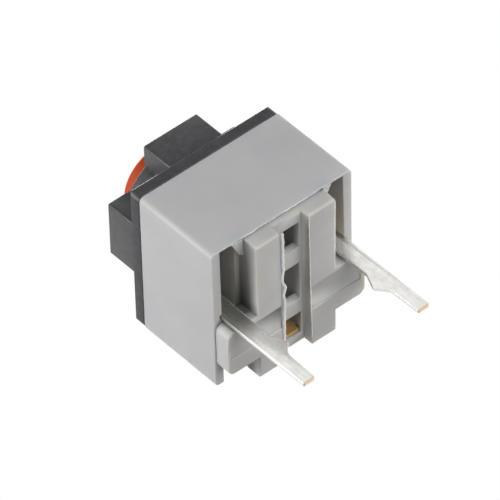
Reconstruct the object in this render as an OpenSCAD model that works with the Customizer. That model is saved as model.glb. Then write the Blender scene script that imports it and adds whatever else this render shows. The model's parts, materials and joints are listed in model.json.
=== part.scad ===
// Tactile push button switch for a circuit board, seen in its free state.
// The origin is the middle of the face that seats on the board. The button
// points up (+Z) and the two terminals point down through the board (-Z).

/* [Housing] */
// Outside width of the square housing
body_w = 12.4; // [12:0.1:13.6]
// Height of the housing, from its rim to the cover plate
body_h = 7.4; // [7.4:0.1:9]
// Wall of the housing
wall = 0.76; // [0.6:0.02:0.8]
// Radius of the upright corners of the housing
corner_r = 0.35; // [0.2:0.05:0.8]
// Free gap round a piece that drops into the housing
fit_gap = 0.05; // [0.03:0.01:0.1]
// Thickness of the rim's lip beside the two near pockets
lip_t = 0.14; // [0.1:0.02:0.3]
// Height of the two outlets in the far wall
outlet_h = 0.95; // [0.6:0.05:1.1]

/* [Contact base, underside] */
// How far ribs and ledge stand out of the housing rim
rib_h = 1.3; // [1.2:0.1:1.6]
// Width of each rib
rib_w = 2.15; // [1.9:0.05:2.3]
// Clear width between the two ribs
channel_w = 2.5; // [2.2:0.1:2.7]
// Depth of the channel between the ribs
channel_d = 0.8; // [0.5:0.05:0.9]
// Inset of the ribs' front end from the housing side
rib_inset = 0.2; // [0.1:0.05:0.3]
// Thickness of the ladder floor between the ribs
ladder_t = 0.6; // [0.4:0.05:0.8]
// Width of the three ladder windows
window_w = 2.0; // [1.4:0.1:2.1]
// Width of the step in the near pockets, along the ribs
step_w = 0.42; // [0.3:0.01:0.6]
// Depth of that step behind the ribs' fronts
step_d = 1.78; // [1.6:0.02:2.2]
// Inset of the ledge from the housing sides
ledge_inset = 0.12; // [0.05:0.01:0.3]
// Ledge, near edge
ledge_y0 = 0.4; // [0.3:0.05:0.6]
// Ledge, far edge
ledge_y1 = 4.35; // [3.6:0.05:4.8]
// Radius of the ledge's upright corners
ledge_r = 0.6; // [0.2:0.05:0.8]
// Depth of the blank marking panel in the ledge
panel_d = 0.12; // [0.05:0.01:0.2]
// Height of the base, from the board to the dome floor
floor_z = 4.6; // [4.5:0.05:4.8]
// Height of the wall round the dome
dome_wall_h = 1.1; // [1:0.05:1.2]

/* [Cover] */
// Thickness of the cover plate
plate_t = 1; // [0.7:0.05:1.3]
// Radius of the upright corners of the cover plate
plate_r = 0.5; // [0.2:0.05:0.8]
// Width of the four guard blocks
block_w = 4.75; // [3.6:0.05:5.4]
// Height of the guard blocks above the plate
block_h = 3.1; // [2.4:0.1:4]
// Inset of the guard blocks from the side of the housing
block_inset = 0.55; // [0.4:0.05:0.8]
// Outside diameter of the guide collar
collar_d = 9; // [8.4:0.1:9.6]
// How much lower the collar is than the guard blocks
collar_drop = 0.12; // [0.05:0.01:0.5]
// Depth of the skirt below the plate
skirt_h = 1.6; // [1.4:0.1:1.7]

/* [Plunger] */
// Diameter of the plunger
plunger_d = 6.1; // [5.8:0.1:6.3]
// Running gap round the plunger, on the radius
plunger_gap = 0.08; // [0.04:0.01:0.1]
// Height of the plunger above the guard blocks
plunger_proud = 1.65; // [1.2:0.05:2.4]
// Full travel of the plunger
travel = 0.6; // [0.4:0.05:0.6]
// Side of the square flange that keeps the plunger in
flange_w = 7.7; // [7.4:0.1:7.9]
// Thickness of that flange
flange_t = 0.6; // [0.4:0.05:0.8]
// Wall of the hollow plunger
cup_wall = 0.7; // [0.5:0.05:0.8]
// Thickness of the plunger's top
cap_t = 1.5; // [1.2:0.1:2]
// Diameter of the stem inside the plunger
stem_d = 2; // [1.8:0.1:2.2]
// Diameter of the pressure pad under the stem
pad_d = 1.7; // [1.4:0.1:1.8]

/* [Spring and dome] */
// Wire of the return spring
wire_d = 0.32; // [0.25:0.01:0.4]
// Mean diameter of the return spring
spring_d = 3.4; // [3.2:0.1:3.6]
// Turns of the return spring
spring_turns = 7; // [5:1:9]
// Thickness of the spring seat plate
seat_t = 0.8; // [0.6:0.05:0.9]
// Diameter of the snap dome
dome_d = 7; // [6:0.1:7.4]
// Rise of the snap dome
dome_rise = 0.55; // [0.45:0.05:0.7]
// Thickness of the snap dome
dome_t = 0.1; // [0.08:0.01:0.12]
// Thickness of the film over the dome
film_t = 0.06; // [0.05:0.01:0.08]

/* [Terminals] */
// How deep each terminal's outer edge sits in a slot of the housing wall
slot_d = 0.13; // [0.05:0.01:0.2]
// Thickness of the terminal strip
strip_t = 0.3; // [0.25:0.05:0.4]
// Width of the terminal tips
tip_w = 0.98; // [0.8:0.02:0.98]
// Width of the terminals where they leave the base
root_w = 1.27; // [1.1:0.01:1.4]
// Width of the terminals at the stop shoulder
stop_w = 1.8; // [1.5:0.01:2]
// Length of the terminals below the board face
pin_l = 7.15; // [5:0.05:8]
// Where the stop shoulder starts to widen, below the board face
stop_z0 = 2.25; // [1:0.05:2.5]
// Where the stop shoulder is widest
stop_z1 = 3.5; // [2.8:0.05:3.6]

/* [Hidden] */
round_fn = 64;
small_fn = 24;
arc_step = 15;
eps = 0.01;

// Heights above the board face
rim_z = rib_h;
top_z = rim_z + body_h;
plate_z = top_z + plate_t;
block_z = plate_z + block_h;
collar_z = block_z - collar_drop;
plunger_z = block_z + plunger_proud;
outlet_z = rim_z + outlet_h;
base_z = floor_z + dome_wall_h;
seat_z = base_z + seat_t;

// Plan sizes
half_w = body_w / 2;
inner_w = body_w - 2 * wall;
tray_w = inner_w - 2 * fit_gap;
tail_y = tray_w / 2;
rib_in = channel_w / 2;
rib_out = rib_in + rib_w;
rib_y0 = -half_w + rib_inset;

// Base details
panel_near = 0.42;
panel_far = 1.45;
panel_end = 0.25;
panel_y0 = ledge_y0 + panel_near;
panel_y1 = ledge_y1 - panel_far;
wedge_foot = [1.04, 0];
wedge_knee = [0.37, 1.3];
wedge_end = [0, 1.6];
lip_h = 0.6;
rib_edge = 0.12;
window_near = [1.25, 3.5];
window_mid = [-1.2, 2.15];
window_far = 2.7;
ladder_windows = [[window_near[0] - half_w, window_near[1] - half_w], window_mid,
                  [half_w - window_far, tail_y]];
gallery_w = 2.1;
gallery_wall = 0.3;
gallery_y = half_w - wall - gallery_wall;
well_margin = 1.1;
dome_well_d = dome_d + 2 * well_margin;

// Cover details
lip_bevel = 0.12;
lip_cut = lip_bevel * sqrt(2);
block_edge = 0.2;
flange_room = 0.15;
skirt_open = flange_w + 2 * flange_room;

// Plunger details
stop_gap = 0.05;
crown_edge = 0.3;
flange_z = top_z - stop_gap;
cup_in = plunger_d / 2 - cup_wall;
pad_gap = 0.05;
pad_z0 = floor_z + dome_rise + dome_t + film_t + pad_gap + eps;
pad_h = 0.65;
stem_z0 = pad_z0 + pad_h;
plug_share = 0.55;
plug_d = pad_d * plug_share;
plug_h = 0.9;

// Spring details
seat_groove = 0.15;
spring_z0 = seat_z - seat_groove;
spring_z1 = plunger_z - cap_t;
stem_room = 0.25;
seat_bore = stem_d + 2 * stem_room;
wire_sides = 8;
turn_rings = 14;
closed_share = 0.12;

// Posts on the seat plate that stop the flange at full travel
post_w = 0.8;
post_x = flange_w / 2 - post_w / 2 - flange_room;
post_z = flange_z - flange_t - travel - stop_gap / 2;

// Dome details
dome_steps = 8;
dome_r = (pow(dome_d / 2, 2) + pow(dome_rise, 2)) / (2 * dome_rise);

// Contact details
frame_t = strip_t;
ring_under = 0.55;
ring_over = 0.35;
ring_in = dome_d / 2 - ring_under;
ring_out = dome_d / 2 + ring_over;
arm_w = 1.7;
arm_z = 3.5;
pocket_z = arm_z;
rivet_d = 1.1;
rivet_rise = 0.06;
tail_w = 1.8;
tail_sink = 0.12;
tail_z = channel_d + tail_sink;

// Blade details
blade_x = inner_w / 2 + slot_d;
pitch = 2 * blade_x - tip_w;
knee_w = 1.24;
knee_run = 0.65;
stop_run = 0.95;
stop_z2 = stop_z1 + stop_run;
tip_ease = 0.08;
tip_cut = 0.06;

// Box between two corners
module block(x0, x1, y0, y1, z0, z1) {
    translate([x0, y0, z0]) cube([x1 - x0, y1 - y0, z1 - z0]);
}

// Upright bar of w by l with round corners, from z0 to z1, centred on the axis
module rounded_bar(w, l, r, z0, z1) {
    block(-w / 2 + r, w / 2 - r, -l / 2, l / 2, z0, z1);
    block(-w / 2, w / 2, -l / 2 + r, l / 2 - r, z0, z1);
    for (x = [-1, 1], y = [-1, 1])
        translate([x * (w / 2 - r), y * (l / 2 - r), z0])
            cylinder(h = z1 - z0, r = r, $fn = small_fn);
}

// Round disc or ring from z0 to z1
module disc(d, z0, z1) {
    translate([0, 0, z0]) cylinder(h = z1 - z0, d = d, $fn = round_fn);
}

// Grey sleeve, open at both ends, with two outlets, two thin lips and a slot for each blade
module housing() {
    color([0.67, 0.67, 0.68])
    difference() {
        rounded_bar(body_w, body_w, corner_r, rim_z, top_z);
        block(-inner_w / 2, inner_w / 2, -inner_w / 2, inner_w / 2, rim_z - eps, top_z + eps);
        block(-blade_x - fit_gap, blade_x + fit_gap, -strip_t / 2 - fit_gap, strip_t / 2 + fit_gap,
              rim_z - eps, base_z);
        for (side = [0, 1]) mirror([side, 0, 0]) {
            block(rib_out, inner_w / 2, inner_w / 2 - eps, half_w + eps, rim_z - eps, outlet_z);
            block(rib_out, inner_w / 2, -half_w + lip_t, -inner_w / 2 + eps, rim_z - eps, rim_z + lip_h);
        }
    }
}

// Front of a rib on the right, with its outer edge eased
module rib() {
    translate([0, half_w, 0])
        rotate([90, 0, 0])
            linear_extrude(half_w - rib_y0)
                polygon([[rib_in - eps, 0], [rib_out - rib_edge, 0], [rib_out, rib_edge],
                         [rib_out, rim_z], [rib_in - eps, rim_z]]);
}

// Wedge that closes the near end of the right pocket, from height z0 up, with its foot at y0
module pocket_wedge(y0, z0, z1) {
    knee_y = -half_w + lip_t;
    translate([rib_out, 0, z0])
        linear_extrude(z1 - z0)
            intersection() {
                translate([-eps, y0]) square([wedge_foot[0] + eps, wedge_end[1]]);
                translate([0, knee_y])
                    polygon([[-eps, 0], wedge_foot, wedge_knee, wedge_end, [-eps, wedge_end[1]]]);
            }
}

// Right half of the base's underside, before its channel and windows are cut
module base_side() {
    step_z = min(step_d, pocket_z);
    rib();
    block(-eps, rib_out, -tray_w / 2, tray_w / 2, rim_z - eps, pocket_z + eps);
    block(rib_out - eps, rib_out + step_w, -tray_w / 2, tray_w / 2, step_z, pocket_z + eps);
    block(rib_out - eps, tray_w / 2, ledge_y1 - eps, tray_w / 2, outlet_z, pocket_z + eps);
    block(rib_out - eps, tray_w / 2, ledge_y0, ledge_y1, rim_z - eps, pocket_z + eps);
    pocket_wedge(-half_w + lip_t + fit_gap, rim_z, rim_z + lip_h - fit_gap);
    pocket_wedge(-tray_w / 2, rim_z, pocket_z + eps);
}

// Everything of the base that is solid before it is hollowed
module base_body() {
    block(-tray_w / 2, tray_w / 2, -tray_w / 2, tray_w / 2, pocket_z, base_z);
    block(-rib_in, rib_in, rib_y0, half_w, channel_d, rim_z);
    base_side();
    mirror([1, 0, 0]) base_side();
    translate([0, (ledge_y0 + ledge_y1) / 2, 0])
        rounded_bar(body_w - 2 * ledge_inset, ledge_y1 - ledge_y0, ledge_r, 0, rim_z);
}

// Grey moulded base with ribs, ledge, ladder channel, pockets and dome well
module contact_base() {
    color([0.65, 0.65, 0.64])
    difference() {
        base_body();
        block(-rib_in, rib_in, rib_y0 - eps, half_w + eps, -eps, channel_d);
        for (w = ladder_windows)
            block(-window_w / 2, window_w / 2, w[0], w[1], channel_d - eps, channel_d + ladder_t + eps);
        block(-gallery_w / 2, gallery_w / 2, -gallery_y, gallery_y,
              channel_d + ladder_t, arm_z);
        for (side = [0, 1]) mirror([side, 0, 0])
            block(rib_in, half_w - ledge_inset - panel_end, panel_y0, panel_y1, -eps, panel_d);
        disc(dome_well_d, floor_z, base_z + eps);
        translate([0, 0, arm_z]) cylinder(h = floor_z - arm_z + eps, d = rivet_d, $fn = small_fn);
        terminal_left();
        terminal_right();
    }
}

// Guard block in the middle of the near side, reaching in to the collar
module guard_block() {
    depth = half_w - block_inset;
    translate([0, -depth / 2, 0])
        rounded_bar(block_w, depth, block_edge, plate_z - eps, block_z);
}

// Black cover: plate, four guard blocks, guide collar and locating skirt
module cover() {
    color([0.29, 0.29, 0.31])
    difference() {
        union() {
            rounded_bar(body_w, body_w, plate_r, top_z, plate_z);
            for (turn = [0 : 90 : 270]) rotate([0, 0, turn]) guard_block();
            disc(collar_d, plate_z - eps, collar_z);
            rounded_bar(tray_w, tray_w, corner_r, top_z - skirt_h, top_z + eps);
        }
        disc(plunger_d + 2 * plunger_gap, top_z - skirt_h - eps, block_z + eps);
        rounded_bar(skirt_open, skirt_open, corner_r, top_z - skirt_h - eps, top_z);
        for (turn = [0 : 90 : 270])
            rotate([0, 0, turn])
                translate([half_w, 0, plate_z])
                    rotate([0, 45, 0])
                        cube([lip_cut, body_w + 2 * eps, lip_cut], center = true);
    }
}

// Orange hollow plunger with a crowned edge, a stem and a square flange
module plunger() {
    color([0.82, 0.37, 0.22])
    difference() {
        union() {
            difference() {
                rotate_extrude($fn = round_fn)
                    polygon(concat([[0, flange_z - flange_t], [plunger_d / 2, flange_z - flange_t]],
                        [for (a = [0 : arc_step : 90])
                            [plunger_d / 2 - crown_edge + crown_edge * cos(a),
                             plunger_z - crown_edge + crown_edge * sin(a)]],
                        [[0, plunger_z]]));
                disc(2 * cup_in, flange_z - flange_t - eps, spring_z1);
            }
            difference() {
                rounded_bar(flange_w, flange_w, corner_r, flange_z - flange_t, flange_z);
                disc(2 * cup_in, flange_z - flange_t - eps, flange_z + eps);
            }
            translate([0, 0, stem_z0])
                cylinder(h = spring_z1 + eps - stem_z0, d = stem_d, $fn = small_fn);
        }
        translate([0, 0, stem_z0 - eps])
            cylinder(h = plug_h + eps, d = plug_d, $fn = small_fn);
    }
}

// Silicone pad plugged into the stem, which presses the dome
module pressure_pad() {
    color([0.86, 0.84, 0.78]) {
        translate([0, 0, pad_z0]) cylinder(h = stem_z0 - pad_z0, d = pad_d, $fn = small_fn);
        translate([0, 0, stem_z0 - eps]) cylinder(h = plug_h + eps, d = plug_d, $fn = small_fn);
    }
}

// Centre line of the spring at t from 0 to 1, with its end turns closed up
function coil_z(t) = let (e = closed_share, rise = spring_z1 - spring_z0 - wire_d)
    t < e ? t / e * wire_d
    : t > 1 - e ? rise - (1 - t) / e * wire_d
    : wire_d + (t - e) / (1 - 2 * e) * (rise - 2 * wire_d);
function coil_point(t) = [spring_d / 2 * cos(360 * spring_turns * t),
                          spring_d / 2 * sin(360 * spring_turns * t),
                          spring_z0 + wire_d / 2 + coil_z(t)];

// Compression spring: a round wire swept along a helix
module return_spring() {
    sides = wire_sides;
    rings = turn_rings * spring_turns;
    points = [for (i = [0 : rings], j = [0 : sides - 1])
        let (turn = 360 * spring_turns * i / rings, side = 360 * j / sides, c = coil_point(i / rings))
        c + wire_d / 2 * [cos(side) * cos(turn), cos(side) * sin(turn), sin(side)]];
    skin = [for (i = [0 : rings - 1], j = [0 : sides - 1])
        [i * sides + j, (i + 1) * sides + j,
         (i + 1) * sides + (j + 1) % sides, i * sides + (j + 1) % sides]];
    first_end = [for (j = [0 : sides - 1]) j];
    last_end = [for (j = [sides - 1 : -1 : 0]) rings * sides + j];
    color([0.75, 0.76, 0.78]) polyhedron(points, concat(skin, [first_end, last_end]), convexity = 8);
}

// Plate between base and spring, with a groove for the spring and four stop posts
module spring_seat() {
    color([0.9, 0.89, 0.85])
    difference() {
        union() {
            rounded_bar(tray_w, tray_w, corner_r, base_z, seat_z);
            for (x = [-post_x, post_x], y = [-post_x, post_x])
                block(x - post_w / 2, x + post_w / 2, y - post_w / 2, y + post_w / 2, base_z, post_z);
        }
        disc(seat_bore, base_z - eps, seat_z + eps);
        difference() {
            disc(spring_d + 2 * wire_d, seat_z - seat_groove, seat_z + eps);
            disc(spring_d - 2 * wire_d, seat_z - seat_groove - eps, seat_z + 2 * eps);
        }
    }
}

// Height of the dome's underside at a distance r from its centre
function dome_h(r) = floor_z + dome_rise - dome_r + sqrt(pow(dome_r, 2) - pow(r, 2));

// Thin shell that follows the dome, from lift a to lift b above its underside
module dome_shell(a, b, rim) {
    step = dome_d / 2 / dome_steps;
    under = [for (i = [0 : dome_steps]) [step * i, dome_h(step * i) + a]];
    over = [for (i = [dome_steps : -1 : 0]) [step * i, dome_h(step * i) + b]];
    rotate_extrude($fn = round_fn) polygon(concat(under, rim, over));
}

// Sprung bronze dome that snaps through under the pad
module snap_dome() {
    color([0.80, 0.62, 0.36]) dome_shell(0, dome_t, []);
}

// Clear film that keeps the dome in its well
module dome_film() {
    r = dome_d / 2;
    edge = dome_well_d / 2 - fit_gap;
    color([0.85, 0.66, 0.25])
    dome_shell(dome_t + eps, dome_t + eps + film_t,
        [[r + eps, floor_z + dome_t + eps], [r + eps, floor_z], [edge, floor_z],
         [edge, floor_z + film_t], [r + 2 * film_t, floor_z + film_t],
         [r + film_t, floor_z + dome_t + film_t]]);
}

// Silver contact under the middle of the dome, riveted on the right terminal
module centre_contact() {
    color([0.88, 0.88, 0.86])
    translate([0, 0, arm_z + frame_t])
        cylinder(h = floor_z + rivet_rise - arm_z - frame_t, d = rivet_d, $fn = small_fn);
}

// Outline of a terminal blade, seen along Y, for the right-hand side
module blade(head_z) {
    inner = blade_x - tip_w;
    translate([0, strip_t / 2, 0])
        rotate([90, 0, 0])
            linear_extrude(strip_t)
                polygon([[blade_x, head_z], [blade_x - root_w, head_z], [blade_x - root_w, -stop_z0],
                         [blade_x - stop_w, -stop_z1], [blade_x - knee_w, -stop_z1 - knee_run],
                         [inner - tip_ease, -stop_z2],
                         [inner, -pin_l + tip_cut], [inner + tip_cut, -pin_l],
                         [blade_x - tip_cut, -pin_l], [blade_x, -pin_l + tip_cut]]);
}

// Left terminal: blade and the ring that the dome stands on
module terminal_left() {
    color([0.87, 0.87, 0.85]) {
        mirror([1, 0, 0]) blade(floor_z);
        difference() {
            union() {
                disc(2 * ring_out, floor_z - frame_t, floor_z);
                block(-pitch / 2, -ring_in, -arm_w / 2, arm_w / 2, floor_z - frame_t, floor_z);
            }
            disc(2 * ring_in, floor_z - frame_t - eps, floor_z + eps);
        }
    }
}

// Right terminal: blade, arm to the centre contact and a tail behind the ladder
module terminal_right() {
    color([0.87, 0.87, 0.85]) {
        blade(arm_z + frame_t);
        block(-arm_w / 2, pitch / 2, -arm_w / 2, arm_w / 2, arm_z, arm_z + frame_t);
        block(-tail_w / 2, tail_w / 2, 0, tail_y, arm_z, arm_z + frame_t);
        block(-tail_w / 2, tail_w / 2, tail_y - frame_t, tail_y, tail_z, arm_z + frame_t);
    }
}

housing();
contact_base();
cover();
plunger();
pressure_pad();
return_spring();
spring_seat();
dome_film();
snap_dome();
centre_contact();
terminal_left();
terminal_right();
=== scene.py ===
# %% [markdown]
# # A tactile push button switch, dressed in Blender
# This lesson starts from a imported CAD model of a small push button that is
# soldered to a circuit board. The CAD gives every piece its true size and
# place. What is left is what the eye reads as a real object: edges that are
# slightly round, plastic that is not perfectly even, tin that mirrors its
# surroundings, and a little moulding flash.

import json
import math

import bmesh
import bpy
import numpy as np
from mathutils import Matrix, Vector

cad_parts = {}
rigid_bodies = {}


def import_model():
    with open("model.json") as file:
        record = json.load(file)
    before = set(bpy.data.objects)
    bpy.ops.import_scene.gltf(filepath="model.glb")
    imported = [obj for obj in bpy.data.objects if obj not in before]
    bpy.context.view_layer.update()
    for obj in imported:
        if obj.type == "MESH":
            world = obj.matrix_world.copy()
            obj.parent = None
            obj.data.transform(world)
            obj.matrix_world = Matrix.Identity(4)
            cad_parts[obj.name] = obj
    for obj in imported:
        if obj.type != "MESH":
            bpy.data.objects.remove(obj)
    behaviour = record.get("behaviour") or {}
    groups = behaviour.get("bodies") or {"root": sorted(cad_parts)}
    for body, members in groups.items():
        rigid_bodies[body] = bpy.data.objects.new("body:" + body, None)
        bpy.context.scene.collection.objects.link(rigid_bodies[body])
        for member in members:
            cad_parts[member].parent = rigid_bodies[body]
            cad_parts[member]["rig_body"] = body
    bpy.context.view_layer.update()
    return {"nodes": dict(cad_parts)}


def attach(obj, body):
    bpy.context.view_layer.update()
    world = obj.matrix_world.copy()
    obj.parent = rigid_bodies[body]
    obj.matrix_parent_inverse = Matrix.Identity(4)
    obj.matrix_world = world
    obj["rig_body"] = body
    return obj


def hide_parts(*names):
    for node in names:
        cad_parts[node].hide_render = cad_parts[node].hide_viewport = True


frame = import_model()
MM = 0.001

# %% [markdown]
# ## The camera
# The switch was photographed lying on one side, with its underside towards
# the lens, from about half a metre with a long lens. The part keeps its own
# upright frame here, so the camera is what gets tilted. Its place and its
# three axes were solved from the edges of the housing, so they are written
# down as numbers and not aimed by hand.

# %% Camera from the underside
CAMERA_MM = (-251.5, -394.37, -300.16)
AXIS_RIGHT = (0.7564, 0.0230, -0.6537)
AXIS_UP = (0.4742, -0.7076, 0.5238)
AXIS_BACK = (-0.4505, -0.7062, -0.5462)
SENSOR_MM = 36.0
LENS_MM = 597.4
NEAREST_M, FARTHEST_M = 0.05, 5.0


def place(right, up, back, at):
    """The matrix whose columns are three unit axes and a place."""
    rows = [(right[i], up[i], back[i], at[i]) for i in range(3)]
    return Matrix(rows + [(0, 0, 0, 1)])


camera = bpy.data.objects.new("camera", bpy.data.cameras.new("camera"))
bpy.context.scene.collection.objects.link(camera)
camera.matrix_world = place(AXIS_RIGHT, AXIS_UP, AXIS_BACK, [c * MM for c in CAMERA_MM])
camera.data.sensor_width = SENSOR_MM
camera.data.lens = LENS_MM
camera.data.clip_start = NEAREST_M
camera.data.clip_end = FARTHEST_M
bpy.context.scene.camera = camera
print("camera at", CAMERA_MM, "mm, lens", LENS_MM, "mm")

# %% [markdown]
# ## Colours and node trees
# Colours are picked as sRGB hex values, but a shader adds up light, which is
# linear. One function turns the first into the second. Another adds a node
# with its settings and its links, so that a material reads as a short list.

# %% Two helpers


def linear(code):
    """Hex sRGB to linear RGBA: a straight line below 0.04045, a power of 2.4 above it."""
    parts = [int(code[i:i + 2], 16) / 255 for i in (1, 3, 5)]
    return tuple(
        p / 12.92 if p <= 0.04045 else ((p + 0.055) / 1.055) ** 2.4 for p in parts
    ) + (1.0,)


def add(tree, kind, links=None, stops=None, inputs=None, **settings):
    """Adds one node: links and inputs go to sockets by name or number, stops to a colour ramp."""
    made = tree.nodes.new("ShaderNode" + kind)
    for name, value in settings.items():
        setattr(made, name, value)
    for name, value in (inputs or {}).items():
        made.inputs[name].default_value = value
    for name, source in (links or {}).items():
        tree.links.new(source, made.inputs[name])
    if stops:
        ramp = made.color_ramp.elements
        while len(ramp) < len(stops):
            ramp.new(1.0)
        for element, (at, code) in zip(ramp, stops):
            element.position = at
            element.color = linear(code)
    return made


print("mid grey in light:", [round(c, 3) for c in linear("#B5B5B6")[:3]])

# %% [markdown]
# ## Moulded plastics
# The grey housing and base are injection moulded PBT, a hard engineering
# plastic. Its skin is satin, because the steel mould was spark eroded, and
# light goes a little way into it, so thin rims and thin walls look lighter
# and warmer. The colour is almost even. A slow mottle of a few millimetres
# and a fine grain keep it from looking like paint. In deep corners, where
# little of the surroundings is open, the colour is darkened and tinted as
# painted shade.

# %% A recipe for moulded plastic
RECESS_MM = 3.0
DEEP_SHARE, OPEN_SHARE = 0.1, 0.5
THROUGH_MM = 1.0
PLASTIC_IOR = 1.5


def scale_for(mm):
    """Noise scale for a pattern whose features are mm wide, as Object coordinates are in metres."""
    return 1.0 / (mm * MM)


def moulded(name, low, high, rough, mottle_mm, grain_mm, grain_depth_mm, glow=0.0, recess_shade="#FFFFFF"):
    """Plastic whose colour drifts from low to high, with painted shade in deep corners, under a fine
    grain.
    """
    mat = bpy.data.materials.new(name)
    mat.use_nodes = True
    tree = mat.node_tree
    shader = tree.nodes["Principled BSDF"]
    where = add(tree, "TexCoord").outputs["Object"]
    drift = add(tree, "TexNoise", {"Vector": where},
                inputs={"Scale": scale_for(mottle_mm), "Detail": 3.0})
    tint = add(tree, "ValToRGB", {"Fac": drift.outputs["Fac"]}, stops=[(0.35, low), (0.65, high)])
    # Painted shade: deep corners are darkened and tinted in the colour, standing in for the dim light
    # that bounces in a recess.
    open_share = add(tree, "AmbientOcclusion", samples=8, inputs={"Distance": RECESS_MM * MM})
    recess_shade_ramp = add(tree, "ValToRGB", {"Fac": open_share.outputs["AO"]},
                stops=[(DEEP_SHARE, recess_shade), (OPEN_SHARE, "#FFFFFF")])
    colour = add(tree, "Mix", {6: tint.outputs["Color"], 7: recess_shade_ramp.outputs["Color"]},
                 data_type="RGBA", blend_type="MULTIPLY", inputs={0: 1.0})
    grain = add(tree, "TexNoise", {"Vector": where},
                inputs={"Scale": scale_for(grain_mm), "Detail": 2.0})
    bump = add(tree, "Bump", {"Height": grain.outputs["Fac"]},
               inputs={"Strength": 0.6, "Distance": grain_depth_mm * MM})
    tree.links.new(colour.outputs[2], shader.inputs["Base Color"])
    tree.links.new(bump.outputs["Normal"], shader.inputs["Normal"])
    shader.inputs["Roughness"].default_value = rough
    shader.inputs["IOR"].default_value = PLASTIC_IOR
    # Red light travels furthest inside the plastic, so thin places turn warm.
    shader.inputs["Subsurface Weight"].default_value = glow
    shader.inputs["Subsurface Radius"].default_value = (1.0, 0.8, 0.55)
    shader.inputs["Subsurface Scale"].default_value = THROUGH_MM * MM
    return mat


# %% [markdown]
# ## The grey plastics
# Housing and base are the same kind of PBT from two moulds, and the base is
# a shade warmer. Both glow a little from inside. The flash is the same
# plastic, but only about a tenth of a millimetre thick, so it looks almost
# white.

# %% Housing, base and flash
# The recess colours given here are painted shade for deep corners.
housing_pbt = moulded(
    "housing_pbt_satin", "#B7B7B9", "#BCBCBD", rough=0.5, mottle_mm=4.0, grain_mm=0.12,
    grain_depth_mm=0.004, glow=0.8, recess_shade="#EFE4CC")
base_pbt = moulded(
    "base_pbt_satin", "#BAB9B7", "#C2C1BF", rough=0.5, mottle_mm=3.0, grain_mm=0.12,
    grain_depth_mm=0.004, glow=0.8, recess_shade="#C0C2C0")
flash_pbt = moulded(
    "flash_pbt_thin", "#F4F2EA", "#FBFAF4", rough=0.35, mottle_mm=1.0, grain_mm=0.12,
    grain_depth_mm=0.004, glow=0.3)
print("plastics made:", len(bpy.data.materials))

# %% [markdown]
# ## The other plastics
# The cover is PBT with carbon black, from a mould with a coarser grain that
# breaks its highlights up. The button is acetal, POM, which is waxy, so its
# strong colour has hardly a highlight on it. The spring seat is the same
# without a dye, ivory and satin. Silicone is matt and milky, and polyimide
# film is a glossy amber.

# %% Cover, button, seat, pad and film
BUTTON_SHINE = 0.2
cover_pbt = moulded(
    "cover_pbt_grained", "#212124", "#323236", rough=0.36, mottle_mm=0.5, grain_mm=0.16,
    grain_depth_mm=0.02)
button_pom = moulded(
    "button_pom_satin", "#BA471D", "#C34E23", rough=0.6, mottle_mm=3.0, grain_mm=0.2,
    grain_depth_mm=0.003)
button_shader = button_pom.node_tree.nodes["Principled BSDF"]
button_shader.inputs["Specular IOR Level"].default_value = BUTTON_SHINE
seat_pom = moulded(
    "seat_pom_natural", "#DEDBD0", "#E6E3D9", rough=0.5, mottle_mm=3.0, grain_mm=0.2,
    grain_depth_mm=0.003)
pad_silicone = moulded(
    "pad_silicone", "#D6D2C6", "#DEDACF", rough=0.65, mottle_mm=2.0, grain_mm=0.2,
    grain_depth_mm=0.002)
film_amber = moulded(
    "film_polyimide_amber", "#C08A2C", "#CC973B", rough=0.3, mottle_mm=2.0, grain_mm=0.3,
    grain_depth_mm=0.001)
print("plastics made:", len(bpy.data.materials))

# %% [markdown]
# ## Painted shade on the reflection of the cover's lip
# The upper edge of the cover has a small chamfer. Seen almost along its
# surface it would mirror the white room as one long line. On the real cover
# it does so only between the guard blocks, because beside a block the block
# hides the room. So beside a block the chamfer's shine is turned down by
# place, as painted shade on its reflection.

# %% Painted shade on the lip's reflection beside the blocks
SHINE, HIDDEN_SHINE = 0.42, 0.1
BLOCK_HALF_MM = 2.4
LIP_LOW_MM, LIP_TOP_MM = 9.57, 9.69
tree = cover_pbt.node_tree
shader = tree.nodes["Principled BSDF"]
apart = add(tree, "SeparateXYZ", {"Vector": add(tree, "TexCoord").outputs["Object"]})
across = add(tree, "Math", {0: apart.outputs["X"]}, operation="ABSOLUTE")
deep = add(tree, "Math", {0: apart.outputs["Y"]}, operation="ABSOLUTE")
nearer = add(tree, "Math", {0: across.outputs[0], 1: deep.outputs[0]}, operation="MINIMUM")
beside = add(tree, "Math", {0: nearer.outputs[0]}, operation="LESS_THAN",
             inputs={1: BLOCK_HALF_MM * MM})
on_lip = add(tree, "Math", {0: apart.outputs["Z"]}, operation="COMPARE",
             inputs={1: (LIP_LOW_MM + LIP_TOP_MM) / 2 * MM, 2: (LIP_TOP_MM - LIP_LOW_MM) / 2 * MM})
# Painted shade: beside the blocks the lip's reflection is turned down, where the blocks hide the white
# room.
reflection_hidden = add(tree, "Math", {0: beside.outputs[0], 1: on_lip.outputs[0]}, operation="MULTIPLY")
shine = add(tree, "MapRange", {"Value": reflection_hidden.outputs[0]}, inputs={"To Min": SHINE, "To Max": HIDDEN_SHINE})
tree.links.new(shine.outputs["Result"], shader.inputs["Specular IOR Level"])
print("lip dulled from", LIP_LOW_MM, "to", LIP_TOP_MM, "mm")

# %% [markdown]
# ## The dark end of the left pocket
# Between the left rib and the housing's wall lies a narrow pocket, and the
# terminal closes its far end. The real one is deeper than this model's, so
# less light comes back out. To make up for that, the plastic of its step and
# of the rib's flank is tinted darker towards that end.

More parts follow.
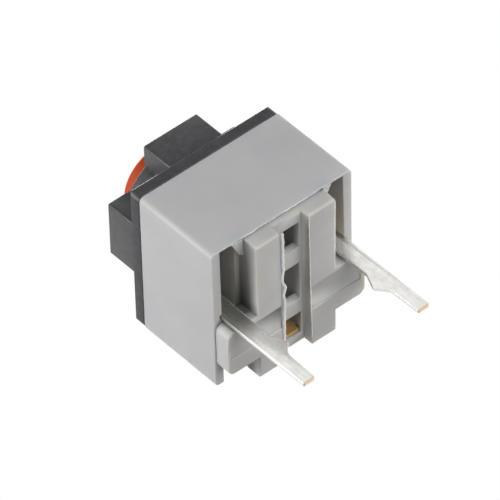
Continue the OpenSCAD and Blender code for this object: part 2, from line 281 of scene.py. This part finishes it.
# %% Tinting the left pocket
FLANK_MM, STEP_MM = -3.38, -3.9
OPEN_END_MM, CLOSED_END_MM = -6.5, 0.3
MOUTH_MM, INSIDE_MM = 0.15, 0.9
STEP_FLOOR_MM = 1.85
tree = base_pbt.node_tree
shader = tree.nodes["Principled BSDF"]
apart = add(tree, "SeparateXYZ", {"Vector": add(tree, "TexCoord").outputs["Object"]})
in_pocket = add(tree, "Math", {0: apart.outputs["X"]}, operation="COMPARE",
                inputs={1: (FLANK_MM + STEP_MM) / 2 * MM, 2: (FLANK_MM - STEP_MM) / 2 * MM})
far_in = add(tree, "MapRange", {"Value": apart.outputs["Y"]},
             inputs={"From Min": OPEN_END_MM * MM, "From Max": CLOSED_END_MM * MM})
inside = add(tree, "MapRange", {"Value": apart.outputs["Z"]},
             inputs={"From Min": MOUTH_MM * MM, "From Max": INSIDE_MM * MM})
before_floor = add(tree, "Math", {0: apart.outputs["Z"]}, operation="LESS_THAN",
                   inputs={1: STEP_FLOOR_MM * MM})
fading = add(tree, "Math", {0: far_in.outputs["Result"], 1: inside.outputs["Result"]},
             operation="MULTIPLY")
fading = add(tree, "Math", {0: fading.outputs[0], 1: in_pocket.outputs[0]}, operation="MULTIPLY")
fading = add(tree, "Math", {0: fading.outputs[0], 1: before_floor.outputs[0]}, operation="MULTIPLY")
veil = add(tree, "ValToRGB", {"Fac": fading.outputs[0]}, stops=[(0.0, "#FFFFFF"), (1.0, "#868681")])
plain = shader.inputs["Base Color"].links[0].from_socket
tinted = add(tree, "Mix", {6: plain, 7: veil.outputs["Color"]},
             data_type="RGBA", blend_type="MULTIPLY", inputs={0: 1.0})
tree.links.new(tinted.outputs[2], shader.inputs["Base Color"])
print("left pocket tinted from", OPEN_END_MM, "to", CLOSED_END_MM, "mm")

# %% [markdown]
# ## Metals
# The metals share one recipe. Their colour and roughness drift in clouds, as
# on any handled metal. Strip also has fine lines along its length, which is
# Z here, and those come from a noise that is stretched along Z.

# %% A recipe for metal
LINE_STRETCH = 0.06
NOISE_LOW, NOISE_PALE, NOISE_HIGH = 0.38, 0.6, 0.62
LINE_DEPTH_MM = 0.003


def metal(name, dark, light, rough_low, rough_high, cloud_mm, line_mm=None):
    """Metal whose colour and roughness drift in clouds, with lines along Z when line_mm is given."""
    mat = bpy.data.materials.new(name)
    mat.use_nodes = True
    tree = mat.node_tree
    shader = tree.nodes["Principled BSDF"]
    where = add(tree, "TexCoord").outputs["Object"]
    stretch = (1.0, 1.0, LINE_STRETCH if line_mm else 1.0)
    along = add(tree, "Mapping", {"Vector": where}, inputs={"Scale": stretch})
    clouds = add(tree, "TexNoise", {"Vector": where},
                 inputs={"Scale": scale_for(cloud_mm), "Detail": 4.0})
    lines = add(tree, "TexNoise", {"Vector": along.outputs["Vector"]},
                inputs={"Scale": scale_for(line_mm or cloud_mm), "Detail": 3.0})
    both = add(tree, "Math", {0: clouds.outputs["Fac"], 1: lines.outputs["Fac"]}, operation="ADD")
    half = add(tree, "Math", {0: both.outputs[0]}, operation="MULTIPLY", inputs={1: 0.5})
    tint = add(tree, "ValToRGB", {"Fac": half.outputs[0]},
               stops=[(NOISE_LOW, dark), (NOISE_PALE, light)])
    rough = add(tree, "MapRange", {"Value": half.outputs[0]},
                inputs={"From Min": NOISE_LOW, "From Max": NOISE_HIGH,
                        "To Min": rough_high, "To Max": rough_low})
    bump = add(tree, "Bump", {"Height": lines.outputs["Fac"]},
               inputs={"Strength": 0.4, "Distance": LINE_DEPTH_MM * MM})
    tree.links.new(tint.outputs["Color"], shader.inputs["Base Color"])
    tree.links.new(rough.outputs["Result"], shader.inputs["Roughness"])
    tree.links.new(bump.outputs["Normal"], shader.inputs["Normal"])
    shader.inputs["Metallic"].default_value = 1.0
    return mat, tree, shader, where, tint


# %% [markdown]
# ## Tinned brass
# The terminals are stamped from brass strip and tinned. Tin is bright but
# soft, so it shows fine lines along the strip and cloudy patches where it
# flowed. The tips were cut after tinning, and there the brass shows, with a
# dark burr and a cream coloured rim.

# %% Tin and the cut tips
TIP_MM = 7.15
CREAM_MM = 0.17
BURR_MM = 0.05
tinned, tree, shader, where, tint = metal(
    "terminal_brass_tinned", "#DDDCD8", "#F4F3F0", rough_low=0.25, rough_high=0.4,
    cloud_mm=0.5, line_mm=0.12)
parts = add(tree, "SeparateXYZ", {"Vector": where})
from_tip = add(tree, "Math", {0: parts.outputs["Z"]}, operation="ADD", inputs={1: TIP_MM * MM})
share = add(tree, "Math", {0: from_tip.outputs[0]}, operation="DIVIDE", inputs={1: CREAM_MM * MM})
cut = add(tree, "ValToRGB", {"Fac": share.outputs[0]},
          stops=[(0.0, "#E9D2B6"), (0.06, "#8C7B5C"),
                 (BURR_MM / CREAM_MM, "#DCD2B8"), (1.0, "#F0EBDD")])
near_tip = add(tree, "Math", {0: share.outputs[0]}, operation="LESS_THAN", inputs={1: 1.0})
tipped = add(tree, "Mix", {0: near_tip.outputs[0], 6: tint.outputs["Color"], 7: cut.outputs["Color"]},
             data_type="RGBA")
print("tips cut over", CREAM_MM, "mm")

# %% [markdown]
# ## The root of one terminal and the bare tail
# Close to the body the left terminal's tin is darkened in its colour, as
# painted shade. Inside the last window the strip was never tinned, and its
# brass has tarnished. Matt tin scatters part of the light like a white
# powder, and tarnished brass scatters more of it, so neither is fully metallic here.

# %% Painted shade on the left root, and the brass tail
ROOT_LOW_MM, ROOT_HIGH_MM = -1.7, 0.2
TAIL_MM = 4.5
TIN_METAL, TAIL_METAL = 0.7, 0.35
# Painted shade: the left terminal's tin is darkened towards the body.
near_body = add(tree, "MapRange", {"Value": parts.outputs["Z"]},
                inputs={"From Min": ROOT_LOW_MM * MM, "From Max": ROOT_HIGH_MM * MM})
on_left = add(tree, "Math", {0: parts.outputs["X"]}, operation="LESS_THAN", inputs={1: 0.0})
left_root = add(tree, "Math", {0: near_body.outputs["Result"], 1: on_left.outputs[0]},
                operation="MULTIPLY")
shade = add(tree, "ValToRGB", {"Fac": left_root.outputs[0]},
            stops=[(0.0, "#FFFFFF"), (1.0, "#A2A29E")])
dimmed = add(tree, "Mix", {6: tipped.outputs[2], 7: shade.outputs["Color"]},
             data_type="RGBA", blend_type="MULTIPLY", inputs={0: 1.0})
tail = add(tree, "Math", {0: parts.outputs["Y"]}, operation="GREATER_THAN", inputs={1: TAIL_MM * MM})
brass = add(tree, "Mix", {0: tail.outputs[0], 6: dimmed.outputs[2]}, data_type="RGBA",
            inputs={7: linear("#B28C58")})
metallic = add(tree, "MapRange", {"Value": tail.outputs[0]},
               inputs={"To Min": TIN_METAL, "To Max": TAIL_METAL})
tree.links.new(brass.outputs[2], shader.inputs["Base Color"])
tree.links.new(metallic.outputs["Result"], shader.inputs["Metallic"])
print("root dark from", ROOT_LOW_MM, "mm, tail bare beyond", TAIL_MM, "mm")

# %% [markdown]
# ## Hidden metals
# The spring is drawn steel wire, grey and fairly bright. The dome is rolled
# spring bronze, warm and smooth. The contact is silver, the palest of them.

# %% Spring, dome and contact
spring_wire = metal("spring_wire_drawn", "#A9AAAD", "#C9CACC", 0.25, 0.35, cloud_mm=0.4)[0]
dome_bronze = metal("dome_bronze_rolled", "#B98A4C", "#D3A768", 0.25, 0.35, cloud_mm=0.8)[0]
contact_silver = metal("contact_silver", "#D2D2CF", "#E8E8E5", 0.25, 0.35, cloud_mm=0.4)[0]
print("materials made:", len(bpy.data.materials))

# %% [markdown]
# ## Dressing the CAD pieces
# Pieces whose shape is already right only get their finish. A node's mesh is
# left alone, and one material fills its slots.

# %% Finishes for the CAD pieces
FINISHES = {
    "housing": housing_pbt,
    "contact_base": base_pbt,
    "cover": cover_pbt,
    "plunger": button_pom,
    "pressure_pad": pad_silicone,
    "return_spring": spring_wire,
    "spring_seat": seat_pom,
    "dome_film": film_amber,
    "snap_dome": dome_bronze,
    "centre_contact": contact_silver,
    "terminal_left": tinned,
    "terminal_right": tinned,
}
for name, mat in FINISHES.items():
    slots = frame["nodes"][name].data.materials
    slots.clear()
    slots.append(mat)
print("dressed", len(FINISHES), "nodes")

# %% [markdown]
# ## Eased edges
# No moulded edge is truly sharp, and the small round along it is what
# catches a highlight. A copy of the CAD piece is welded, its flat faces are
# made whole again, and a bevel rounds its outer edges. A rule says how wide
# the round is at each place. The copy then stands for the CAD piece.
# A bevel can fill a face that runs around a hole wrongly, so such a face is
# cut in four first.

# %% Rounding the edges of a copy
WELD_M = 1e-6
FLAT = math.radians(0.5)
SHARP = math.radians(35)
SEGMENTS = 3


def quarter(work, above_mm):
    """Cuts the faces above a height along both diagonals and marks the cuts as seams."""
    for normal in ((1, 1, 0), (1, -1, 0)):
        faces = [face for face in work.faces if min(v.co.z for v in face.verts) > above_mm * MM]
        parts = faces + list({e for face in faces for e in face.edges})
        parts += list({v for face in faces for v in face.verts})
        cut = bmesh.ops.bisect_plane(
            work, geom=parts, dist=WELD_M, plane_co=(0, 0, 0), plane_no=normal)
        for part in cut["geom_cut"]:
            if isinstance(part, bmesh.types.BMEdge):
                part.seam = True


def whole_faces(work, shift, cut_above_mm):
    """Moves corners by shift(place in mm), welds the triangles and joins those that lie flat."""
    for vert in work.verts if shift else []:
        vert.co += Vector(shift(vert.co / MM)) * MM
    bmesh.ops.remove_doubles(work, verts=work.verts, dist=WELD_M)
    bmesh.ops.dissolve_degenerate(work, dist=WELD_M, edges=work.edges)
    if cut_above_mm:
        quarter(work, cut_above_mm)
    bmesh.ops.dissolve_limit(
        work, angle_limit=FLAT, verts=work.verts, edges=work.edges, delimit={"SEAM"})


def ease(name, width_mm, rule, shift=None, cut_above_mm=None):
    """A copy of a CAD node with its outer edges rounded by rule(middle in mm), at most width_mm."""
    node = frame["nodes"][name]
    mesh = node.data.copy()
    work = bmesh.new()
    work.from_mesh(mesh)
    whole_faces(work, shift, cut_above_mm)
    layer = work.edges.layers.float.new("bevel_weight_edge")
    for face in work.faces:
        face.smooth = True
    for edge in work.edges:
        turn = edge.calc_face_angle() if len(edge.link_faces) == 2 else 0.0
        if turn > SHARP and edge.is_convex:
            edge[layer] = rule((edge.verts[0].co + edge.verts[1].co) / 2 / MM) / width_mm
        edge.smooth = turn < SHARP or edge[layer] > 0
    count = sum(1 for edge in work.edges if edge[layer] > 0)
    work.to_mesh(mesh)
    work.free()
    obj = bpy.data.objects.new(name + "_eased", mesh)
    bpy.context.scene.collection.objects.link(obj)
    bevel = obj.modifiers.new("round", "BEVEL")
    bevel.width = width_mm * MM
    bevel.segments = SEGMENTS
    bevel.limit_method = "WEIGHT"
    bevel.use_clamp_overlap = False
    bevel.harden_normals = True
    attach(obj, node["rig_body"])
    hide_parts(name)
    print(name, "eased on", count, "edges")


# %% [markdown]
# ## The housing's edges
# The sleeve has a crisp round everywhere, and a finer one where its near rim
# is only a thin lip. The foot at its far right corner is a little shorter
# than the rim, so that corner is moved before the weld.

# %% Easing the housing
CLOSE_MM = 0.05
RIM_Z_MM = 1.3
NEAR_END_MM = -5.9
THIN_HALF_MM, THIN_DEEP_MM = 5.5, 2.0
FOOT_FROM_MM, FOOT_SHORT_MM = 5.4, 0.2
HOUSING_ROUND_MM, THIN_ROUND_MM = 0.07, 0.03


def housing_rule(at):
    """The usual round, or the fine one on the thin part of the near rim."""
    thin = at.y < NEAR_END_MM and abs(at.x) < THIN_HALF_MM and at.z < THIN_DEEP_MM
    return THIN_ROUND_MM if thin else HOUSING_ROUND_MM


def short_foot(at):
    """Lifts the rim's corners at the far right."""
    foot = min(at.x, at.y) > FOOT_FROM_MM and at.z < RIM_Z_MM + CLOSE_MM
    return (0, 0, FOOT_SHORT_MM if foot else 0)


ease("housing", width_mm=0.1, rule=housing_rule, shift=short_foot)

# %% [markdown]
# ## The base's edges
# The ribs have a small chamfer in the CAD, but their real edges are rounded.
# So the chamfer is filled out and the bevel makes a soft round there and on
# the ribs' near ends. The real right rib is also a little wider than the left
# one, and its flank is moved out. The recessed panel ends a little earlier,
# to keep clear of the ledge's rounded corner. Behind the windows there is no
# round, because a bevel there fills the faces around the windows wrongly.

# %% Easing the base
RIB_IN_MM, RIB_OUT_MM = 1.25, 3.4
RIB_CHAMFER_MM = 0.12
EPS_MM = 0.01
WIDER_MM, WIDER_SLOPE = 0.16, 0.018
PANEL_END_MM, PANEL_SHORT_MM = 5.83, 0.12
PANEL_LOW_MM, PANEL_HIGH_MM = 0.6, 3.0
BASE_ROUND_MM, SOFT_ROUND_MM = 0.06, 0.2


def wider(y_mm):
    """How far the right rib's flank is moved out: 0.27 mm at its near end, 0.05 mm at its far end."""
    return WIDER_MM - WIDER_SLOPE * y_mm


def base_shift(at):
    """Fills out the ribs' chamfers, moves the right flank out and the panel's end in."""
    if abs(at.x - PANEL_END_MM) < EPS_MM and PANEL_LOW_MM < at.y < PANEL_HIGH_MM:
        return (-PANEL_SHORT_MM, 0, 0)
    side = math.copysign(1.0, at.x)
    short = RIB_OUT_MM - abs(at.x)
    if not -EPS_MM < short < RIB_CHAMFER_MM + EPS_MM:
        return (0, 0, 0)
    on_chamfer = at.z < RIB_CHAMFER_MM + EPS_MM
    out = (short if on_chamfer else 0) + (wider(at.y) if at.x > 0 else 0)
    return (side * out, 0, -at.z if on_chamfer else 0)


def base_rule(at):
    """None behind the windows, soft on the ribs' near ends and outer edges, crisp elsewhere."""
    if abs(at.x) < RIB_IN_MM + CLOSE_MM and at.z > RIM_Z_MM + CLOSE_MM:
        return 0.0
    if at.y < NEAR_END_MM and at.z < RIM_Z_MM - CLOSE_MM:
        return SOFT_ROUND_MM
    rib_edge = RIB_OUT_MM + (wider(at.y) if at.x > 0 else 0)
    soft = at.z < CLOSE_MM and abs(abs(at.x) - rib_edge) < CLOSE_MM
    return SOFT_ROUND_MM if soft else BASE_ROUND_MM


ease("contact_base", width_mm=SOFT_ROUND_MM, rule=base_rule, shift=base_shift)

# %% [markdown]
# ## The edges of cover and terminals
# The cover has a crisp round, but none around its bore, where a bevel fills
# the ring at the top wrongly, and none on the lip with its own chamfer.
# Stamped strip is rolled over by a few hundredths on every edge.

# %% Easing the cover and the terminals
COLLAR_TOP_MM, BORE_MM = 12.7, 3.6
CHAMFER_LOW_MM, CHAMFER_TOP_MM = 9.5, 9.75
PLATE_EDGE_MM = 6.0
COVER_ROUND_MM, STRIP_ROUND_MM = 0.1, 0.03


def cover_rule(at):
    """None around the bore or on the lip's chamfer, crisp elsewhere."""
    on_bore = at.z > COLLAR_TOP_MM and math.hypot(at.x, at.y) < BORE_MM
    on_chamfer = CHAMFER_LOW_MM < at.z < CHAMFER_TOP_MM and max(abs(at.x), abs(at.y)) > PLATE_EDGE_MM
    return 0.0 if on_bore or on_chamfer else COVER_ROUND_MM


ease("cover", width_mm=COVER_ROUND_MM, rule=cover_rule, cut_above_mm=COLLAR_TOP_MM)
for name in ("terminal_left", "terminal_right"):
    ease(name, width_mm=STRIP_ROUND_MM, rule=lambda at: STRIP_ROUND_MM)

# %% [markdown]
# ## Moulding flash
# Where the two halves of the mould met, a thin wavy fin stands out from the
# edge of each rib, and a few burrs sit on the near rim of the housing. Both
# are swept: at each place along the edge the same small profile, moved out
# by how far the fin reaches there.

# %% A swept fin
STEPS = 160
RIPPLE_MM = 0.008
ROOT_MM = 0.06
NECK_MM = (-0.004, -0.008)
BEAD_BACK = np.array([2.2, 1.4, 0.5, 0.0, 0.4, 1.6])
BEAD_SIDE = np.array([-0.7, -1.0, -0.1, 0.8, 0.8])


def fin(name, node, put, flip, along, reach, bead_mm):
    """Sweep: point(t, k) = put(t, u_k(t), w_k), in mm.

    t runs along the edge. Profile point k lies u_k out from the edge and w_k
    to its side: from the root inside the plastic, past a neck, around a bead
    whose tip is at u = reach(t) plus a ripple of two sines, and back.
    """
    t = np.linspace(along[0], along[-1], STEPS)
    ripple = 1.5 * np.sin(t * 7.1) + np.sin(t * 17.3 + 1.0)
    out = np.interp(t, along, reach) + RIPPLE_MM * ripple
    root = np.full((STEPS, 1), -ROOT_MM)
    u = np.hstack([root, out[:, None] - BEAD_BACK * bead_mm, root])
    w = np.tile(np.concatenate([NECK_MM, BEAD_SIDE * bead_mm, [ROOT_MM]]), (STEPS, 1))
    n = u.shape[1]
    grid = np.stack(put(np.repeat(t[:, None], n, 1), u, w), 2) * MM
    ring, k = np.meshgrid(np.arange(STEPS - 1), np.arange(n), indexing="ij")
    here = (ring * n + k).ravel()
    beside = (ring * n + (k + 1) % n).ravel()
    faces = np.stack([here, beside, beside + n, here + n], 1)[:, ::-1 if flip else 1]
    last = (STEPS - 1) * n
    ends = np.stack([np.arange(n)[::-1], last + np.arange(n)])[:, ::-1 if flip else 1]
    mesh = bpy.data.meshes.new(name)
    mesh.from_pydata(grid.reshape(-1, 3).tolist(), [], faces.tolist() + ends.tolist())
    mesh.polygons.foreach_set("use_smooth", np.ones(len(mesh.polygons), bool))
    # The bead is thin flash. The rest and the two ends are the piece's own plastic.
    mesh.materials.append(FINISHES[node])
    mesh.materials.append(flash_pbt)
    on_bead = np.concatenate([(k.ravel() >= 1) & (k.ravel() <= 5), [False, False]])
    mesh.polygons.foreach_set("material_index", on_bead.astype(int))
    obj = bpy.data.objects.new(name, mesh)
    bpy.context.scene.collection.objects.link(obj)
    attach(obj, frame["nodes"][node]["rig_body"])
    print(name, "faces", len(mesh.polygons))


# %% [markdown]
# ## Where the flash stands
# The left rib has the strong fin, and its reach goes up and down in bumps, as
# in the photograph. The right rib has a weak one. The rim of the
# housing has burrs in four places and nothing between them. Each fin says how
# its profile is put: on the ribs it grows into the channel, across X, and on
# the rim it stands out along Z.

# %% Flash on the ribs and burrs on the rim
LEFT_Y = [-5.95, -5.2, -4.1, -3.2, -2.5, -1.8, -1.45, -0.8, -0.1, 0.7, 1.6, 2.8, 4.0, 4.4]
LEFT_REACH = [0.24, 0.29, 0.26, 0.26, 0.28, 0.15, 0.13, 0.40, 0.22, 0.34, 0.26, 0.22, 0.21, 0.12]
fin("flash_left", "contact_base", put=lambda t, u, w: (u - RIB_IN_MM, t, w), flip=False,
    along=LEFT_Y, reach=LEFT_REACH, bead_mm=0.085)

RIGHT_Y = [-5.9, -4.0, -2.0, 0.5, 3.0, 5.5]
RIGHT_REACH = [0.02, 0.05, 0.03, 0.06, 0.03, 0.02]
fin("flash_right", "contact_base", put=lambda t, u, w: (RIB_IN_MM - u, t, w), flip=True,
    along=RIGHT_Y, reach=RIGHT_REACH, bead_mm=0.045)

RIM_Y_MM = -6.14
RIM_X = [-5.3, -4.7, -4.5, -4.3, -3.2, -2.8, -2.5, -2.2, -1.0, 0.2, 0.5, 0.8, 1.1, 3.0, 5.3]
RIM_REACH = [0.0, 0.0, 0.06, 0.0, 0.01, 0.08, 0.06, 0.0, 0.0, 0.0, 0.08, 0.02, 0.06, 0.0, 0.0]
fin("flash_rim", "housing", put=lambda t, u, w: (t, RIM_Y_MM + w, RIM_Z_MM - u), flip=True,
    along=RIM_X, reach=RIM_REACH, bead_mm=0.04)

# %% [markdown]
# ## The studio
# Two broad, soft lamps do the work. One is overhead and in front of the lying
# switch, and lights its near side and its underside. The other is low, far
# left and behind, and lights the left side alone, so that the ribs keep their
# shaded flanks. Two weaker lamps serve the sides that the main view
# doesn't show.

# %% Lamps
LAMP_MM = 250


def lamp(name, towards, size_mm, watts):
    """A square area lamp in a given direction from the switch, aimed at its middle."""
    data = bpy.data.lights.new(name, "AREA")
    data.shape = "SQUARE"
    data.size = size_mm * MM
    data.energy = watts
    obj = bpy.data.objects.new(name, data)
    bpy.context.scene.collection.objects.link(obj)
    way = Vector(towards).normalized()
    obj.location = way * LAMP_MM * MM
    obj.rotation_euler = (-way).to_track_quat("-Z", "Y").to_euler()
    print("lamp", name, watts, "W")


lamp("overhead_front", (0.15, -0.72, -0.69), size_mm=240, watts=0.61)
lamp("low_left_back", (-0.9, -0.1, 0.42), size_mm=200, watts=0.61)
lamp("button_side", (0.3, 0.1, 0.95), size_mm=140, watts=0.45)
lamp("far_side", (0.85, 0.5, 0.1), size_mm=160, watts=0.25)

# %% [markdown]
# ## The surroundings
# The world is white where the camera, a mirror or glass looks at it, which
# gives the plain background and the bright tin, and it is dimmer as a lamp.

# %% World
AMBIENT = 0.14
world = bpy.data.worlds.new("studio")
bpy.context.scene.world = world
world.use_nodes = True
sky = world.node_tree
sky.nodes.clear()
ray = add(sky, "LightPath")
seen = add(sky, "Math", {0: ray.outputs["Is Camera Ray"], 1: ray.outputs["Is Glossy Ray"]},
           operation="MAXIMUM")
shown = add(sky, "Math", {0: seen.outputs[0], 1: ray.outputs["Is Transmission Ray"]},
            operation="MAXIMUM")
level = add(sky, "MapRange", {"Value": shown.outputs[0]}, inputs={"To Min": AMBIENT, "To Max": 1.0})
white = add(sky, "Background", {"Strength": level.outputs[0]}, inputs={"Color": (1, 1, 1, 1)})
add(sky, "OutputWorld", {"Surface": white.outputs[0]})
bpy.context.scene.view_settings.view_transform = "Standard"
print("world lights with", AMBIENT)

# %% [markdown]
# ## The floor
# Pale matt paper lies under the pin tips. The main view comes from below, so
# the paper is clear from its back and is only there for an eye above it.

# %% Floor
FLOOR_MM = -7.2
FLOOR_HALF_M = 1.5
PAPER_ROUGH = 0.9
edge = np.array([-FLOOR_HALF_M, FLOOR_HALF_M])
u, v = np.meshgrid(edge, edge)
points = np.stack([u.ravel(), v.ravel(), np.full(4, FLOOR_MM * MM)], 1)
floor_mesh = bpy.data.meshes.new("floor")
floor_mesh.from_pydata(points.tolist(), [], [(0, 1, 3, 2)])
floor = bpy.data.objects.new("floor", floor_mesh)
bpy.context.scene.collection.objects.link(floor)
paper = bpy.data.materials.new("floor_paper")
paper.use_nodes = True
tree = paper.node_tree
shader = tree.nodes["Principled BSDF"]
shader.inputs["Base Color"].default_value = linear("#F2F2F0")
shader.inputs["Roughness"].default_value = PAPER_ROUGH
side = add(tree, "NewGeometry")
clear = add(tree, "BsdfTransparent")
either = add(tree, "MixShader",
             {0: side.outputs["Backfacing"], 1: shader.outputs[0], 2: clear.outputs[0]})
tree.links.new(either.outputs[0], tree.nodes["Material Output"].inputs["Surface"])
floor_mesh.materials.append(paper)
floor.visible_shadow = False
floor.visible_diffuse = False
floor.visible_glossy = False
print("floor at", FLOOR_MM, "mm")
